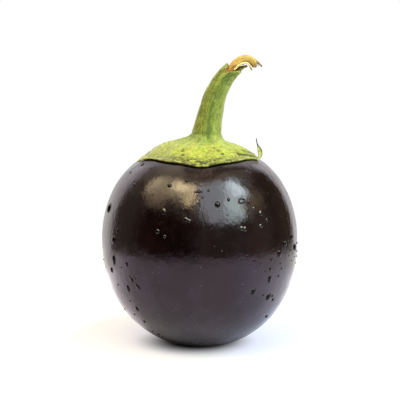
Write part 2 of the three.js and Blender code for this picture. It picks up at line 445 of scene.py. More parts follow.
def uneven_skin(skin):
    """A grown fruit is never quite round: broad, very low swells, and none at the foot."""
    normals = [vertex.normal.copy() for vertex in skin.data.vertices]
    for vertex, normal in zip(skin.data.vertices, normals):
        place = vertex.co / MM
        swell = noise.noise(place / SWELL_SIZE + SWELL_SHIFT)
        swell += RIPPLE_SHARE * noise.noise(place / RIPPLE_SIZE)
        vertex.co += normal * SWELL_HEIGHT * swell * ease(place.z, *SWELL_START) * MM


# ======== the calyx and the stalk ========
STALK = Bend(STALK_PATH)
DEPTH = Vector((0, 1, 0))
TEAR_NORMAL = Vector((facing(TEAR_TILT)[0], 0, facing(TEAR_TILT)[1]))
TEAR_OFFSET = TEAR_NORMAL.dot(Vector(TEAR_POINT))


def between_stops(stops, turn, even=False):
    """The values before and after a turn, in (turn, value) stops that go once round, and how
    far it is from the one to the other."""
    turn %= 360
    later = [i for i, (at, _) in enumerate(stops) if at > turn]
    after = later[0] if later else 0
    before_turn, before = stops[after - 1]
    after_turn, beyond = stops[after]
    share = ((turn - before_turn) % 360) / ((after_turn - before_turn) % 360 or 360)
    return before, beyond, ease(share, 0, 1) if even else share


def rim_reach(turn):
    """How far the calyx reaches, and how near the turn is to one of its points."""
    before, after, share = between_stops(RIM, turn)
    nearness = 1 - share if before > after else share
    point, notch = max(before, after), min(before, after)
    round_it = Vector((*facing(turn), 0))
    ragged = sum(height * noise.noise(round_it * fine) for fine, height in RIM_RAGGED)
    return blend(notch, point, nearness**1.1) + ragged * (1 - nearness**6), nearness


def crease_at(turn, out):
    """How deep a crease is here, and how much of its own depth that is."""
    deepest, share = 0, 0
    for turn_a, out_a, turn_b, out_b, depth, width in CREASES:
        along = ((turn - turn_a) % 360) / (turn_b - turn_a)
        if along > 1:
            continue
        off = abs(out - blend(out_a, out_b, along)) / width
        here = max(0, 1 - off**2) * ease(along, 0, 0.2) * ease(along, 1, 0.85)
        if here * depth > deepest:
            deepest, share = here * depth, here
    return deepest, share


def calyx_point(skin_tree, out, turn, on_top):
    """A point of the calyx, at the share out of the way from the stalk's foot to the rim, and
    how far it lies in a crease, which darkens the colour there as painted shade."""
    side, front = facing(turn)
    reach, nearness = rim_reach(turn)
    radius = blend(BOSS_RADIUS, reach, out)
    x = BOSS_X * (1 - out) + radius * side
    y = -radius * front
    hit = skin_tree.ray_cast(mm(x + AXIS_X, y, 150), Vector((0, 0, -1)))[0]
    wave = noise.noise(Vector((side, front, 0.3)) * 4.5)
    lift = (CALYX_LIFT + CALYX_WAVE * max(0, wave)) * ease(out, CALYX_LIFTS, 1)
    under = hit.z / MM + SKIN_GAP + lift
    if not on_top:
        return Vector((x, y, under)), 0
    thick = CALYX_THICK * (1 - CALYX_SWELL * side)
    body = under + blend(thick, CALYX_THIN, ease(out, CALYX_THINS, 1))
    ridge = CALYX_RIDGE * nearness**2 - CALYX_VALLEY * (1 - nearness) ** 2
    body += ridge * ease(out, 0.1, 0.5) * ease(out, 1, 0.86)
    crease, crease_shade_share = crease_at(turn, out)
    body -= crease
    flare = BOSS_FLARE - BOSS_FLARE_LEAN * side
    away = max(0, math.hypot(x - BOSS_X, y) - BOSS_RADIUS)
    height = blend(body, BOSS_TOP, math.exp(-away / flare))
    return Vector((x, y, height)), crease_shade_share


def stalk_point(share, turn, inset=0.0):
    side, front = facing(turn)
    along = min(1, share / STALK_REACH)
    ahead = STALK.towards(share)
    across = DEPTH.cross(ahead)
    radius = blend(STALK_FOOT_RADIUS, STALK_TIP_RADIUS, along)
    radius += STALK_FOOT_FLARE * (1 - ease(along, 0.05, 0.25))
    radius *= 1 + STALK_RIDGE_HEIGHT * math.cos(STALK_RIDGES * math.radians(turn) + STALK_RIDGE_START)
    radius -= inset
    return STALK.at(share) + across * radius * side - DEPTH * radius * front


def crossing(turn, normal, offset):
    """The share of the stalk's path at which its side, at this turn, meets a plane."""
    low, high = 0.0, 1.0
    for _ in range(24):
        middle = (low + high) / 2
        if stalk_point(middle, turn).dot(normal) < offset:
            low = middle
        else:
            high = middle
    return low


def tear_height(turn):
    before, after, share = between_stops(TEAR_EDGE, turn, even=True)
    teeth = TEAR_TEETH * noise.noise(Vector((*facing(turn), 1.7)) * TEAR_TEETH_FINE)
    return blend(before, after, share) + teeth


def green_rows(skin_tree):
    """Rings of (place, flow, marks), from inside the torn end to under the calyx."""
    turns = [360 * column / GREEN_COLUMNS for column in range(GREEN_COLUMNS)]
    feet = [crossing(turn, Vector((0, 0, 1)), BOSS_TOP) for turn in turns]
    tops = [crossing(turn, TEAR_NORMAL, TEAR_OFFSET + tear_height(turn)) for turn in turns]

    def ring(shape):
        return [shape(turn, foot, top) for turn, foot, top in zip(turns, feet, tops)]

    def on_stalk(up, below=0.0, inset=0.0, torn=0.0, cut=0.0):
        def shape(turn, foot, top):
            share = blend(foot, top, up) - below / STALK.length
            side, front = facing(turn)
            radius = blend(STALK_FOOT_RADIUS, STALK_TIP_RADIUS, share) - inset
            flow = (radius * side, -radius * front, (share - foot) * STALK.length)
            return stalk_point(share, turn, inset), flow, (cut, 0, torn)
        return shape

    def on_calyx(out, on_top=True):
        def shape(turn, _foot, _top):
            side, front = facing(turn)
            # the crease share darkens the colour in the creases as painted shade
            place, crease = calyx_point(skin_tree, out, turn, on_top)
            reach = rim_reach(turn)[0] - BOSS_RADIUS
            flow = (STALK_FOOT_RADIUS * side, -STALK_FOOT_RADIUS * front, -out * reach)
            rim = max(0, out - RIM_ZONE) / (1 - RIM_ZONE) if on_top else 1
            return place, flow, (rim, crease, 0)
        return shape

    inside = (
        (TEAR_DEPTH + 0.6, RIND + 1.3, 1), (TEAR_DEPTH, RIND + 0.5, 1),
        (TEAR_DEPTH * 0.45, RIND + 0.15, 1), (0.6, RIND, 0.7),
    )
    rows = [ring(on_stalk(1, *step)) for step in inside]
    rows += [ring(on_stalk(1, 0, RIND * share, 0, 1)) for share in (0.8, 0.2)]
    for row in range(STALK_ROWS):
        rows.append(ring(on_stalk((1 - row / STALK_ROWS) ** STALK_ROW_POWER - TEAR_BEVEL)))
    rows.append(ring(on_stalk(0)))
    rows += [ring(on_calyx(out)) for out in CALYX_STEPS]
    rows += [ring(on_calyx(out, on_top=False)) for out in UNDER_STEPS]
    return rows


def make_green(skin_tree):
    """The stalk and the calyx grow as one skin, ring by ring, and are then parted at the foot."""
    rows = green_rows(skin_tree)
    build = bmesh.new()
    rings = [[build.verts.new(mm(p.x + AXIS_X, p.y, p.z)) for p, _, _ in row] for row in rows]
    flow = [value for row in rows for _, value, _ in row]
    marks = [value for row in rows for _, _, value in row]
    for upper, lower in zip(rings, rings[1:]):
        for i in range(GREEN_COLUMNS):
            build.faces.new((upper[i - 1], upper[i], lower[i], lower[i - 1]))
    for ring, row in ((rings[0], rows[0]), (rings[-1], rows[-1])):
        middle = build.verts.new(sum((v.co for v in ring), Vector()) / GREEN_COLUMNS)
        flow.append((0, 0, row[0][1][2]))
        marks.append(row[0][2])
        for i in range(GREEN_COLUMNS):
            build.faces.new((ring[i - 1], ring[i], middle))
    bmesh.ops.recalc_face_normals(build, faces=build.faces)
    data = bpy.data.meshes.new("green")
    build.to_mesh(data)
    build.free()
    green = bpy.data.objects.new("green", data)
    bpy.context.scene.collection.objects.link(green)
    add_marks(green, flow, marks)
    subdivide(green, 2)
    roughen(green, green_relief)
    return part_green(green)


def green_relief(flow, marks):
    """Low lumps and drawn-out wrinkles, in millimetres."""
    rim, crease, torn = marks
    on_stalk = ease(flow.z, -1, 5)
    lumps = noise.noise(Vector((flow.x / 2.4, flow.y / 2.4, flow.z / 4.5)))
    lumps += 0.5 * (1 - on_stalk) * noise.noise(Vector((flow.x / 1.1, flow.y / 1.1, flow.z / 2)))
    wrinkles = noise.noise(Vector((flow.x * 1.3, flow.y * 1.3, flow.z / 7)))
    grain = noise.noise(flow * 1.4)
    height = blend(0.42, 0.16, on_stalk) * lumps + blend(0.16, 0.2, on_stalk) * wrinkles
    height += 0.07 * grain + torn * 0.25 * noise.noise(flow * 0.9)
    return height * (1 - 0.6 * ease(rim, 0.6, 1))


def part_green(green):
    """Separates the calyx from the stalk along the ring where the stalk's foot is."""
    heights = [item[2] for item in read_marks(green)[0]]
    take_up(green)
    for face in green.data.polygons:
        face.select = sum(heights[i] for i in face.vertices) < 0
    start_edit()
    bpy.ops.mesh.separate(type="SELECTED")
    end_edit()
    calyx = next(o for o in bpy.context.selected_objects if o is not green)
    for piece in (calyx, green):
        take_up(piece)
        start_edit()
        pick_open_edges()
        close_with_point()
        face_outwards()
        end_edit()
    return calyx, green


MARK_STOPS = 60


def round_section(sides):
    angles = [2 * math.pi * side / sides for side in range(sides)]
    return tuple((0.5 * math.cos(angle), 0.5 * math.sin(angle)) for angle in angles)


def draw_out(name, path, section, sizes, mark, rings):
    """A closed rod: its section is drawn out along a path, turned with it and resized.

    sizes(share) gives the section's size across the bend, in the bend's plane, and along Y.
    mark(share, out, along) gives the marks, with the place in the section as in its outline.
    """
    bend = Bend(path)
    thick, wide = sizes(0)
    deselect_all()
    bpy.ops.mesh.primitive_circle_add(vertices=len(section), radius=MM, fill_type="NGON")
    rod = start_piece(name)
    across = DEPTH.cross(bend.towards(0))
    for vertex, (out, along) in zip(rod.data.vertices, section):
        vertex.co = (bend.at(0) + across * out * thick + DEPTH * along * wide) * MM
    start_edit()
    bpy.ops.mesh.select_mode(type="FACE")
    pick_all()
    here, tilt = bend.at(0), lean(bend, 0)
    for ring in range(1, rings + 1):
        share = ring / rings
        there, turned = bend.at(share), lean(bend, share)
        next_thick, next_wide = sizes(share)
        bpy.ops.mesh.extrude_region_move(TRANSFORM_OT_translate={"value": (there - here) * MM})
        bpy.ops.transform.rotate(
            value=tilt - turned, orient_axis="Y", orient_type="GLOBAL", center_override=there * MM
        )
        growth = (next_thick / thick, next_wide / wide, next_thick / thick)
        bpy.ops.transform.resize(value=growth, center_override=there * MM)
        here, tilt, thick, wide = there, turned, next_thick, next_wide
    face_outwards()
    end_edit()
    rod.data.transform(Matrix.Translation(mm(AXIS_X, 0, 0)))
    subdivide(rod, 2)
    mark_along(rod, bend, sizes, mark)
    return rod


def lean(bend, share):
    """How far a bend leans from straight up towards +X, in radians."""
    ahead = bend.towards(share)
    return math.atan2(ahead.x, ahead.z)


def mark_along(rod, bend, sizes, mark):
    """Gives a rod the flow and marks of its path, measured between evenly spaced stops."""
    shares = [stop / MARK_STOPS for stop in range(MARK_STOPS + 1)]
    stops = [(share, bend.at(share), bend.towards(share)) for share in shares]
    flow, marks = [], []
    for vertex in rod.data.vertices:
        place = vertex.co / MM - Vector((AXIS_X, 0, 0))
        near = min(range(len(stops)), key=lambda stop: (stops[stop][1] - place).length_squared)
        beyond = (place - stops[near][1]).dot(stops[near][2])
        other = min(MARK_STOPS, max(0, near + (1 if beyond > 0 else -1)))
        short = (place - stops[other][1]).dot(stops[other][2])
        within = beyond / (beyond - short) if beyond * short < 0 else 0
        share, nearest, ahead = (blend(a, b, within) for a, b in zip(stops[near], stops[other]))
        off = place - nearest
        out, along = off.dot(DEPTH.cross(ahead)), off.y
        thick, wide = sizes(share)
        flow.append((out, along, share * bend.length + off.dot(ahead)))
        marks.append(mark(share, out / thick, along / wide))
    add_marks(rod, flow, marks)


def tapers(root, tip, start):
    """Sizes for draw_out that keep the root's up to start, and reach the tip's at the end."""
    def sizes(share):
        along = ease(share, start, 1)
        return blend(root[0], tip[0], along), blend(root[1], tip[1], along)
    return sizes


def make_curl():
    """The dried tip of the calyx's right-hand point: a small cupped blade that stands up."""
    def sizes(share):
        swell = ease(share, 0.05, 0.45) * ease(share, 0.75, 0.45)
        thick = blend(1.1, 0.5, ease(share, 0.45, 0.85)) + 1.35 * swell
        return thick, thick * 0.85

    def dryness(share, out, _along):
        edge = ease(abs(out), 0.24, 0.4)
        dry = ease(share, 0.55, 0.8)
        return (0, max(0.7 * edge, dry) - (1 - edge) * (1 - dry), 0)

    return draw_out("curl", CURL_PATH, CURL_SECTION, sizes, dryness, rings=24)


def make_tongue():
    """The rind runs on past the tear on the inner side of the bend, and dries to a point."""
    def hollow(share, out, along):
        inside = ease(math.hypot(out, along), 0.42, 0.34)
        return (0, 0, max(0.6 * inside, 0.35 * ease(share, 0.7, 1)))

    sizes = tapers((5.2, 7.2), (1.2, 1.5), 0.25)
    return draw_out("tongue", TONGUE_PATH, TONGUE_SECTION, sizes, hollow, rings=22)


def fibre_relief(flow, _marks):
    """Long, low ribs, in millimetres."""
    ribs = noise.noise(Vector((flow.x * 1.6, flow.y * 1.6, flow.z / 9)))
    return 0.16 * ribs + 0.08 * noise.noise(Vector((flow.x, flow.y, flow.z / 5)))


def make_torn_end():
    """The dried strip that peeled over as the stalk was torn off, and the shreds round it."""
    def strip_sizes(share):
        thick = blend(3.2, 4.2, ease(share, 0.12, 0.4)) * blend(1, 0.5, ease(share, 0.84, 1))
        wide = blend(5.4, 3.6, ease(share, 0.2, 0.9)) * blend(1, 0.7, ease(share, 0.9, 1))
        return thick, wide

    def weathered(share, *_place):
        return (0, 0.7 * ease(share, 0.85, 1), 0)

    # the strand is pale along most of its length: bleached, and partly a painted highlight where
    # light catches it
    def bleached_and_highlit(share, *_place):
        return (1 - ease(share, 0.75, 0.95), ease(share, 0.8, 1), 0)

    def dried(share, *_place):
        return (0, ease(share, 0.15, 0.8), 0)

    strip = draw_out("strip", STRIP_PATH, STRIP_SECTION, strip_sizes, weathered, rings=30)
    roughen(strip, fibre_relief)
    strand_sizes = tapers((1.3, 1.5), (0.8, 0.8), 0.2)
    section = round_section(10)
    pieces = [strip, draw_out("strand", STRAND_PATH, section, strand_sizes, bleached_and_highlit, rings=20)]
    for number, (path, root, tip) in enumerate(SHREDS):
        sizes = tapers(root, tip, 0.1)
        pieces.append(draw_out(f"shred_{number}", path, section, sizes, dried, rings=12))
    return pieces


# ======== materials ========
def tone(red, green, blue):
    """A colour picked on a 0 to 255 scale, as the linear values that a socket takes."""
    def linear(value):
        value /= 255
        return value / 12.92 if value <= 0.04045 else ((value + 0.055) / 1.055) ** 2.4
    return (linear(red), linear(green), linear(blue), 1)


class Recipe:
    """Adds steps to one node tree. A value is a number, a colour or another step's output."""

    def __init__(self, tree):
        self.tree = tree

    def step(self, kind, wires=(), output=0, **settings):
        made = self.tree.nodes.new("ShaderNode" + kind)
        for key, value in settings.items():
            setattr(made, key, value)
        self.wire(made, dict(wires))
        return made.outputs[output]

    def wire(self, node, wires):
        """Links a step's output to each input that has one, and sets the others."""
        for key, value in wires.items():
            if isinstance(value, bpy.types.NodeSocket):
                self.tree.links.new(value, node.inputs[key])
            else:
                node.inputs[key].default_value = value

    def calc(self, how, first, second=0.0, clamp=False):
        return self.step("Math", {0: first, 1: second}, operation=how, use_clamp=clamp)

    def times(self, first, second):
        return self.calc("MULTIPLY", first, second)

    def ease(self, value, low, high, floor=0.0, top=1.0):
        wires = {"Value": value, "From Min": low, "From Max": high, "To Min": floor, "To Max": top}
        return self.step("MapRange", wires, interpolation_type="SMOOTHSTEP")

    def mix(self, share, first, second):
        wires = {0: share, 6: first, 7: second}
        return self.step("Mix", wires, output=2, data_type="RGBA")

    def coats(self, colour, *layers):
        """Lays tones over a colour, each given by its share and its red, green and blue."""
        for share, *shade in layers:
            colour = self.mix(share, colour, tone(*shade))
        return colour

    def place(self):
        return self.step("TexCoord", output="Object")

    def kept(self, name):
        return self.step("Attribute", output="Vector", attribute_name=name)

    def stretch(self, vector, x, y, z):
        return self.step("VectorMath", {0: vector, 1: (x, y, z)}, operation="MULTIPLY")

    def away_from(self, vector, x, y):
        """How far a place is from a point on the floor, in millimetres, given in metres."""
        middle = (x * MM, y * MM, 0)
        off = self.step("VectorMath", {0: vector, 1: middle}, operation="SUBTRACT")
        return self.step("VectorMath", {0: off}, output="Value", operation="LENGTH")

    def parts(self, vector):
        split = self.tree.nodes.new("ShaderNodeSeparateXYZ")
        self.wire(split, {0: vector})
        return split.outputs

    def noise(self, vector, scale, detail=2.0, roughness=0.5):
        wires = {"Vector": vector, "Scale": scale, "Detail": detail, "Roughness": roughness}
        return self.step("TexNoise", wires)

    def grain(self, vector, across, along, *how):
        """Noise at one scale across the growth and another along it."""
        return self.noise(self.stretch(vector, across, across, along), 1.0, *how)

    def cells(self, vector, scale, output="Distance"):
        return self.step("TexVoronoi", {"Vector": vector, "Scale": scale}, output=output)

    def bumps(self, *layers):
        """Relief upon relief, given by height, distance and strength, the broadest first."""
        under = {}
        for height, distance, strength in layers:
            wires = {"Height": height, "Distance": distance, "Strength": strength, **under}
            under = {"Normal": self.step("Bump", wires)}
        return under["Normal"]


def new_material(name):
    material = bpy.data.materials.new(name)
    material.use_nodes = True
    shader = material.node_tree.nodes["Principled BSDF"]
    return material, Recipe(material.node_tree), shader


def skin_material():
    """Black-purple, glossy and faintly uneven, with a bluish bloom that is stronger lower down, where
    it is partly a painted reflection of the pale floor, and a few pale pores.
    """
    material, r, shader = new_material("eggplant_skin")
    place = r.place()
    height = r.parts(place)[2]
    patches = r.noise(place, 45, 3)
    clouds = r.noise(r.stretch(place, 1, 1, 0.7), 85, 4, 0.6)
    # the bloom is made stronger lower down: there it is partly a painted reflection of the pale floor
    lower_painted_reflection = r.ease(height, 0.056, 0.04, 0.06, 1)
    bloom_and_floor_reflection = r.times(r.ease(clouds, 0.4, 0.68), lower_painted_reflection)
    streaks = r.noise(r.stretch(place, 1, 1, 0.14), 700, 3)
    pores = r.times(*chosen_spots(r, place, 300, 0.05, 0.09, 0.8))
    dust = r.times(*chosen_spots(r, place, 640, 0.08, 0.3, 0.72))
    foot = r.ease(height, 0.0012, 0.0002)
    colour = r.coats(
        tone(4, 1, 1),
        (r.ease(patches, 0.35, 0.7), 14, 5, 7),
        (bloom_and_floor_reflection, 27, 21, 34),
        (r.ease(streaks, 0.56, 0.76, 0, 0.45), 27, 14, 18),
        (r.times(pores, 0.7), 104, 92, 98),
        (r.times(dust, r.ease(bloom_and_floor_reflection, 0, 0.6, 0.06, 0.5)), 84, 74, 86),
        (foot, 92, 70, 46),
    )
    rough = r.ease(r.noise(place, 130, 5, 0.65), 0.36, 0.68, 0.08, 0.25)
    rough = r.calc("ADD", rough, r.times(pores, 0.2))
    rough = r.calc("ADD", rough, r.ease(height, 0.02, 0.004, 0, 0.1))
    rough = r.calc("ADD", rough, r.times(foot, 0.3), clamp=True)
    normal = r.bumps(
        (r.noise(place, 150, 2), 0.0002, 0.65),
        (r.noise(place, 430, 3, 0.6), 0.00007, 0.85),
        (streaks, 0.00009, 0.9),
        (r.noise(place, 1100, 2), 0.000025, 0.9),
        (pores, 0.00004, 0.6),
    )
    r.wire(shader, {"Base Color": colour, "Roughness": rough, "Normal": normal})
    r.wire(shader, {"IOR": 1.5, "Specular Tint": (0.95, 0.79, 1, 1)})
    return material


def chosen_spots(r, vector, scale, inner, outer, rarity):
    """Small round spots, one in each of a few cells: how much spot it is, and if it counts."""
    spot = r.cells(vector, scale)
    which = r.parts(r.cells(vector, scale, "Color"))[0]
    return r.ease(spot, outer, inner), r.ease(which, rarity, rarity + 0.02)


def green_material(name):
    """One flesh from the stalk to the calyx's rim, so that the two pieces match at the foot."""
    material, r, shader = new_material(name)
    flow = r.kept("flow")
    rim, crease, torn = r.parts(r.kept("marks"))
    flow_x, flow_y, length = r.parts(flow)
    streak = r.grain(flow, 0.9, 0.09, 3)
    fine_streak = r.grain(flow, 2.6, 0.2, 3, 0.6)
    mottle = r.grain(flow, 0.35, 0.3, 4, 0.6)
    speckle = r.grain(flow, 1.7, 1.1, 4, 0.75)
    blotch = r.grain(flow, 0.5, 0.3, 4, 0.65)
    # the calyx: yellow-green, brightest in broad patches, olive towards its points
    calyx = r.coats(
        tone(138, 133, 48),
        (r.ease(mottle, 0.4, 0.6), 146, 154, 49),
        (r.ease(length, -11, -22, 0, 0.55), 132, 126, 54),
        (r.ease(flow_x, -3, -6.6, 0, 0.6), 114, 114, 40),
        (r.ease(streak, 0.5, 0.7, 0, 0.45), 104, 118, 38),
        (r.ease(speckle, 0.49, 0.38, 0, 0.5), 178, 186, 92),
        (r.ease(speckle, 0.52, 0.6, 0, 0.75), 88, 88, 28),
    )
    # the stalk: mid-green, olive and rusty on the outer side of its bend, and paler on the inner
    # side, which is a painted sheen along that edge
    outer = r.ease(r.calc("ADD", flow_x, r.times(mottle, 5)), 2.4, -1.6, 0, 0.6)
    stalk = r.coats(
        tone(84, 100, 33),
        (r.ease(streak, 0.38, 0.62), 116, 132, 48),
        (r.ease(fine_streak, 0.5, 0.66, 0, 0.5), 142, 152, 70),
        # paler towards +X, the inner side of the bend: painted sheen
        (r.ease(flow_x, 2, 4.4, 0, 0.65), 158, 160, 80),
        (outer, 110, 114, 40),
        (r.times(r.ease(mottle, 0.55, 0.66), outer), 122, 100, 36),
        (r.ease(blotch, 0.48, 0.34, 0, 0.55), 156, 168, 84),
        (r.ease(blotch, 0.52, 0.64, 0, 0.6), 62, 74, 22),
        (r.ease(speckle, 0.54, 0.6, 0, 0.65), 50, 54, 16),
    )
    meet = r.calc("ADD", length, r.times(r.calc("SUBTRACT", streak, 0.5), 16))
    # dark warts near the rim, most of them in front, and dark flecks on the stalk
    flecks = r.grain(flow, 1.7, 1.3, 2, 0.7)
    near_rim = r.times(r.ease(rim, 0.1, 0.75), r.ease(flow_y, -2, -7, 0.6, 1))
    lost = r.times(r.ease(flecks, 0.58, 0.64), r.ease(flow_x, 2.5, -2.5, 0.25, 0.9))
    edge = r.times(r.ease(rim, 0.9, 0.98), r.ease(fine_streak, 0.4, 0.6, 0.35, 0.9))
    colour = r.coats(
        r.mix(r.ease(meet, -9.5, -1.5), calyx, stalk),
        (r.times(r.ease(flecks, 0.44, 0.51), near_rim), 50, 47, 13),
        (r.times(lost, r.ease(length, -1, 3)), 58, 50, 16),
        (r.times(edge, r.ease(flow_y, -6.8, -4, 0.1, 1)), 186, 176, 104),
        # darker in the calyx's creases, which is painted shade, and on the curl's dry edges and tip,
        # which is its own colour
        (r.ease(crease, 0, 0.7), 58, 50, 20),
        (r.ease(crease, 0, -1), 206, 208, 146),
        (r.ease(torn, 0.1, 0.9), 206, 168, 88),
    )
    rough = r.ease(mottle, 0.3, 0.7, 0.5, 0.68)
    normal = r.bumps((streak, 0.0005, 0.3), (fine_streak, 0.00025, 0.6), (speckle, 0.0004, 0.7))
    r.wire(shader, {"Base Color": colour, "Roughness": rough, "Normal": normal})
    r.wire(shader, {"Sheen Weight": 0.45, "Sheen Roughness": 0.45})
    r.wire(shader, {"Sheen Tint": (0.88, 0.9, 0.66, 1), "Specular IOR Level": 0.35})
    return material


def fibre_material():
    """Dried, torn fibre: ochre outside, orange-brown at the root, with long dark lines, painted shade
    under its bends and a pale strand that is partly a painted highlight.
    """
    material, r, shader = new_material("dried_fibre")
    flow = r.kept("flow")
    bleached_and_highlit, weathered, _ = r.parts(r.kept("marks"))
    across, _, length = r.parts(flow)
    lines = r.grain(flow, 1.1, 0.06, 3, 0.55)
    mottle = r.noise(r.stretch(flow, 1, 1, 0.35), 0.8, 3, 0.5)
    root = r.ease(length, 10, 3)
    colour = r.coats(
        tone(154, 114, 52),
        (r.ease(lines, 0.3, 0.6), 200, 166, 94),
        (r.times(root, 0.75), 176, 112, 58),
        (r.times(r.ease(mottle, 0.54, 0.68), r.ease(root, 0, 1, 0.08, 0.6)), 122, 70, 30),
        # darker on the inner, lower side of each fibre's bend, under the arch: painted shade
        (r.times(r.ease(across, 0.3, 1.3), 0.6), 110, 74, 30),
        # pale strand: bleached, and partly a painted highlight
        (bleached_and_highlit, 214, 188, 132),
        (weathered, 112, 96, 58),
    )
    rough = r.ease(lines, 0.3, 0.7, 0.45, 0.7)
    normal = r.bumps((lines, 0.0003, 0.35), (r.noise(r.place(), 1500, 2), 0.00003, 0.6))
    r.wire(shader, {"Base Color": colour, "Roughness": rough, "Normal": normal})
    return material


def water_material():
    """Water on black skin: it takes the skin's darkness, with a sharp, weaker gloss of its own.
    The drops that have spread out have a glossier coat."""
    material, r, shader = new_material("water_on_skin")
    film = r.noise(r.place(), 700, 2)
    colour = r.coats(tone(2, 1, 2), (r.ease(film, 0.3, 0.7), 8, 6, 7))
    across, _, height = r.parts(r.place())
    low, high, reach = (bound * MM for bound in (*FLAT_DROPS, FLAT_DROPS_REACH))
    level = r.times(r.ease(height, low - MM, low), r.ease(height, high + MM, high))
    spread = r.times(level, r.ease(r.calc("ABSOLUTE", across), reach + MM, reach))
    r.wire(shader, {"Base Color": colour, "Coat Weight": spread})
    r.wire(shader, {"Coat Roughness": 0.02, "Coat IOR": 1.5})
    r.wire(shader, {"Roughness": 0.02, "IOR": 1.36, "Specular Tint": (1, 0.8, 0.98, 1)})
    return material


def floor_material():
    """White paper that glows of itself, which is painted light, dark round the foot as a painted
    shadow, with tinted glows to the sides, and whose far edge fades away. The glow that is
    seen and the glow that is thrown on the fruit differ a little."""
    material, r, shader = new_material("paper_floor")
    place = r.place()
    dimmer = (*(value * PAPER_DIMMER for value in FLOOR_WHITE[:3]), 1)
    paper = r.mix(r.ease(r.noise(place, 300, 3), 0.3, 0.7), dimmer, FLOOR_WHITE)
    from_foot = r.away_from(place, *FOOT_SHADE_MIDDLE)
    seen = r.step("LightPath", output="Is Camera Ray")
    shade_start, shade_end = (
        r.ease(seen, 0, 1, thrown * MM, direct * MM)
        for direct, thrown in zip(FOOT_SHADE, FOOT_SHADE_THROWN)
    )
    glow = r.mix(r.ease(from_foot, shade_start, shade_end), (0, 0, 0, 1), FLOOR_GLOW)
    x, y, _ = r.parts(place)
    turn = r.calc("DEGREES", r.calc("ARCTAN2", x, r.times(y, -1.0)))
    not_behind = r.ease(r.calc("ABSOLUTE", turn), 180, 158)
    for turns, distances, seen_share, other in SIDE_GLOWS:
        outside = r.ease(from_foot, *(distance * MM for distance in distances))
        side = r.times(r.times(outside, r.ease(turn, *turns)), not_behind)
        if seen_share < 1:
            side = r.times(side, r.ease(seen, 0, 1, 1, seen_share))
        glow = r.mix(side, glow, (*other, 1))
    r.wire(shader, {"Base Color": paper, "Emission Color": glow, "Emission Strength": 1})
    r.wire(shader, {"Roughness": 0.8, "Specular IOR Level": 0.1})
    near, far = (distance * MM for distance in FLOOR_ENDS)
    whole = r.ease(r.away_from(place, *FLOOR_MIDDLE), near, far)
    clear = r.step("BsdfTransparent")
    faded = r.step("MixShader", {0: whole, 1: shader.outputs["BSDF"], 2: clear})
    r.wire(r.tree.nodes["Material Output"], {"Surface": faded})
    return material


def dress(piece, material):
    piece.data.materials.clear()
    piece.data.materials.append(material)


# ======== water drops ========
# Drops where the camera sees them: the point of its view, across and down, how wide they are
# in millimetres and, where it matters, how long, and how many degrees the lower end is turned
# to the right from straight downhill.
FRONT_DROPS = (
    (109.3, 208, 2.6, 4.8), (113.9, 240, 2.6, 4.3), (113.9, 260, 2.2, 5.1),
    (111.7, 270, 1.8, 2.8), (117.1, 230.7, 1.3, 2.4), (126.7, 264.3, 1.7, 2.6),
    (128.1, 288.6, 2, 3.8), (131.7, 280, 1.6, 2.8), (137.9, 286.4, 2, 3.4, 30),
    (136.9, 308.9, 1.7, 2.9), (144.3, 321.7, 1.4, 1.8), (134.5, 184.5, 1.6, 2.1),
    (130.5, 172.5, 1.1), (103.5, 259.5, 0.9), (125.4, 249, 1), (145.5, 254.5, 1.2),
    (121.5, 267.5, 0.9), (129.5, 276.5, 1), (135.5, 278.5, 1), (117.9, 284.6, 1),
    (130, 301, 1), (124.6, 309.3, 0.9), (134.5, 314.5, 1), (152.5, 331.5, 1),
    (158.5, 334.5, 1.4), (162.5, 336.5, 1), (150.5, 168.5, 1), (142.5, 164.5, 1.6, 2.6, 40),
    (169.5, 185.5, 1.9, 2.3, 70), (186.5, 180.5, 1.8, 2.1), (191.5, 178.5, 0.9),
    (196, 192, 1.2, 1.5, 80), (198.5, 191.5, 1.5), (201.3, 191.8, 1.1, 1.4, 80),
    (202.5, 197.5, 1), (208.5, 190.5, 1.2), (217.5, 204.5, 2.6), (228.5, 199.5, 1.4, 1.9),
    (227.5, 214.5, 1.4, 1.2), (220.5, 210, 0.8), (152.5, 195.5, 1), (163.5, 211.5, 1.7, 2.9),
    (180.5, 206.5, 0.9, 4, 52), (186, 219.5, 1.6), (189, 220.8, 1.5),
    (157.5, 231.5, 1.7, 2.1), (164.5, 236.5, 1.4), (254, 208, 1.4), (261.1, 212.9, 2, 2.5),
    (267, 219.7, 1.4), (261.1, 225.7, 2.1, 1.8), (241.8, 228.3, 1.9, 2.1), (245.1, 228.9, 1.8),
    # a small loop of water
    (239, 200.8, 1, 2.1, -25), (242, 199, 1, 2.6, 75), (244.4, 201.2, 1, 1.7, -35),
    (240.9, 203, 1, 2.6, 86), (247.1, 202.4, 1, 3.2, 60),
    # thin streaks under the calyx
    (247, 171.5, 1.1, 2.6, 62), (250, 173, 0.9, 2, 50), (241, 179.5, 0.9, 2.6, 62),
    (245, 180.7, 0.9, 2.6, 60), (248.5, 182, 0.9, 2, 56),
    (291.5, 236.5, 2.2, 3.2), (289.5, 233, 0.7, 3.2, 12), (285, 243.6, 2.3, 2.9),
    (288, 243.5, 0.7, 3.4, -16), (294.6, 247, 2, 3.5), (297, 242.9, 1.1),
)
# Specks so near the skin's right-hand edge that they go by X, Z and width, in millimetres.
EDGE_SPECKS = (
    (48.4, 49, 1), (48.4, 46.2, 1.1), (47.8, 43, 0.9), (47.4, 50.6, 0.7),
    (46.6, 47.8, 0.8), (45.6, 50, 0.7), (44.4, 52.4, 0.8), (43.2, 49.9, 0.7),
    (45, 46.6, 0.7),
)
